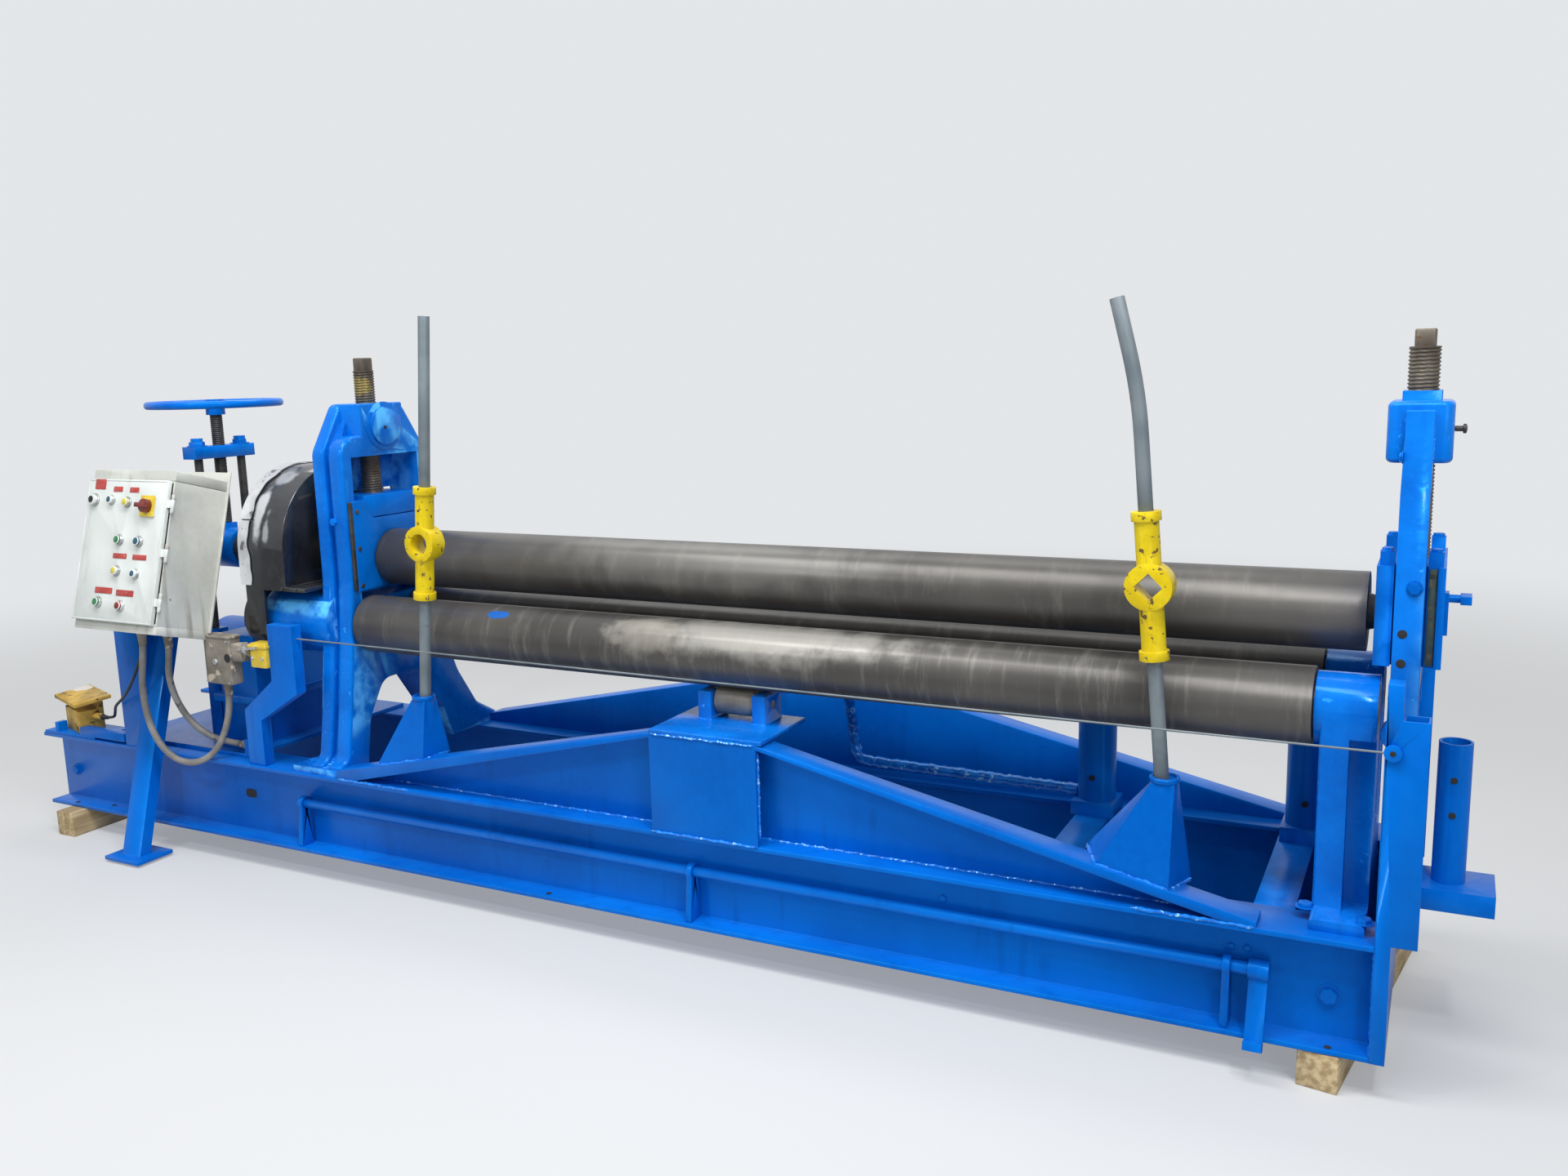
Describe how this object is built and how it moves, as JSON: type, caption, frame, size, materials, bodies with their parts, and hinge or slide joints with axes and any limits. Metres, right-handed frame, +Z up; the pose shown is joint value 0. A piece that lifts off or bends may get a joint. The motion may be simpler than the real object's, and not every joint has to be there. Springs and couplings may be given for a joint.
{
  "type": "plate bending roll",
  "caption": "Three-roll plate bending machine with a hinged drop end, screw-adjusted top roll, girder base on timber skids and a control box on a leaning post.",
  "frame": {"origin": "centre of the overall box at floor level, with all joints at rest", "axes": "+X along the rolls towards the hinged drop end, +Y from the operator's side to the back, +Z up"},
  "size_m": [4.751, 1.0895, 1.8035],
  "materials": {
    "blue_paint": "glossy paint, dusty and chipped",
    "roll_steel": "dark worn steel",
    "bright_steel": "worn oily steel",
    "galvanised": "dull zinc with rust",
    "yellow_paint": "chipped paint",
    "black_paint": "glossy, scuffed",
    "box_paint": "off-white, dirty",
    "grey_paint": "matte grey",
    "yellow_plastic": "matte",
    "red_plastic": "gloss",
    "conduit_grey": "ribbed",
    "timber": "raw sawn wood"
  },
  "bodies": {
    "base": {"balance_frame": "blue_paint", "conduit_loop": "conduit_grey", "conduit_low": "conduit_grey", "control_box": "box_paint", "control_post": "blue_paint", "cross_beam_middle": "blue_paint", "cross_beam_right": "blue_paint", "drive_bed": "blue_paint", "end_plate": "blue_paint", "foot_bracket": "blue_paint", "foot_switch": "yellow_plastic", "front_beam": "blue_paint", "front_girder": "blue_paint", "gear_case": "blue_paint", "gear_guard": "black_paint", "hinge_pin": "bright_steel", "junction_box": "grey_paint", "left_housing": "blue_paint", "motor": "blue_paint", "pedal_lead": "conduit_grey", "rear_beam": "blue_paint", "rear_girder": "blue_paint", "right_housing": "blue_paint", "roller_bracket": "blue_paint", "stand_tube_middle": "blue_paint", "stand_tube_right": "blue_paint", "stub_support": "blue_paint", "timber_left": "timber", "timber_right": "timber", "treadle_bearing_left": "blue_paint", "treadle_bearing_middle": "blue_paint", "treadle_bearing_right": "blue_paint", "trip_bracket": "blue_paint", "trip_switch": "yellow_plastic", "trip_wire": "galvanised", "wrench_bar_left": "galvanised", "wrench_bar_right": "galvanised", "wrench_head_left": "yellow_paint", "wrench_head_right": "yellow_paint", "wrench_socket_left": "blue_paint", "wrench_socket_right": "blue_paint"},
    "lift": {"left_block": "blue_paint", "tail_bearing": "blue_paint"},
    "left_screw_body": {"left_screw": "bright_steel"},
    "top_roll_body": {"top_roll": "roll_steel"},
    "front_roll_body": {"front_roll": "roll_steel"},
    "rear_roll_body": {"rear_roll": "roll_steel"},
    "handwheel_body": {"handwheel": "blue_paint"},
    "drop_body": {"drop_end": "blue_paint"},
    "right_block_body": {"right_block": "blue_paint"},
    "right_screw_body": {"right_screw": "bright_steel"},
    "support_roller_body": {"support_roller": "bright_steel"},
    "treadle_body": {"treadle": "blue_paint"},
    "door_body": {"control_door": "box_paint"},
    "knob_body": {"rotary_knob": "red_plastic"},
    "pedal_body": {"foot_pedal": "yellow_plastic"}
  },
  "joints": [
    {"name": "top_roll_lift", "type": "slide", "parent": "base", "child": "lift", "axis": [0, 0, 1], "range_m": [-0.006, 0.12]},
    {"name": "left_screw_turn", "type": "hinge", "parent": "lift", "child": "left_screw_body", "pos_m": [-0.9675, -0.0145, 1.45], "axis": [0, 0, 1], "continuous": true},
    {"name": "top_roll_spin", "type": "hinge", "parent": "lift", "child": "top_roll_body", "pos_m": [-0.117, -0.0145, 1.04], "axis": [1, 0, 0], "continuous": true},
    {"name": "front_roll_spin", "type": "hinge", "parent": "base", "child": "front_roll_body", "pos_m": [-0.117, -0.1375, 0.836], "axis": [1, 0, 0], "continuous": true},
    {"name": "rear_roll_spin", "type": "hinge", "parent": "base", "child": "rear_roll_body", "pos_m": [-0.117, 0.1085, 0.836], "axis": [1, 0, 0], "continuous": true},
    {"name": "handwheel_turn", "type": "hinge", "parent": "lift", "child": "handwheel_body", "pos_m": [-1.681, -0.0145, 1.55], "axis": [0, 0, 1], "continuous": true},
    {"name": "drop_end_tilt", "type": "hinge", "parent": "base", "child": "drop_body", "pos_m": [2.1575, -0.0145, 0.8], "axis": [0, 1, 0], "range_deg": [0, 76]},
    {"name": "right_block_lift", "type": "slide", "parent": "drop_body", "child": "right_block_body", "axis": [0, 0, 1], "range_m": [-0.006, 0.12]},
    {"name": "right_screw_turn", "type": "hinge", "parent": "right_block_body", "child": "right_screw_body", "pos_m": [2.169, -0.0145, 1.45], "axis": [0, 0, 1], "continuous": true},
    {"name": "support_roller_spin", "type": "hinge", "parent": "base", "child": "support_roller_body", "pos_m": [0.477, -0.1375, 0.7036], "axis": [1, 0, 0], "continuous": true},
    {"name": "treadle_turn", "type": "hinge", "parent": "base", "child": "treadle_body", "pos_m": [0.395, -0.2955, 0.243], "axis": [-1, 0, 0], "range_deg": [0, 35]},
    {"name": "control_door_swing", "type": "hinge", "parent": "base", "child": "door_body", "pos_m": [-1.424, -0.47006, 1.08952], "axis": [0, 0.2672, 0.9636], "range_deg": [0, 110]},
    {"name": "rotary_knob_turn", "type": "hinge", "parent": "door_body", "child": "knob_body", "pos_m": [-1.524, -0.44566, 1.23738], "axis": [0, -0.9636, 0.2672], "range_deg": [0, 90]},
    {"name": "foot_pedal_press", "type": "hinge", "parent": "base", "child": "pedal_body", "pos_m": [-2.22593, -0.23035, 0.469], "axis": [0.9455, -0.3256, 0], "range_deg": [0, 8], "stiffness_Nm_per_rad": 12, "springref_deg": -17.19}
  ],
  "couplings": [
    {"joint": "front_roll_spin", "follows": "top_roll_spin", "ratio": -1.0109},
    {"joint": "rear_roll_spin", "follows": "top_roll_spin", "ratio": -1.0109},
    {"joint": "right_block_lift", "follows": "top_roll_lift", "ratio": 1}
  ]
}
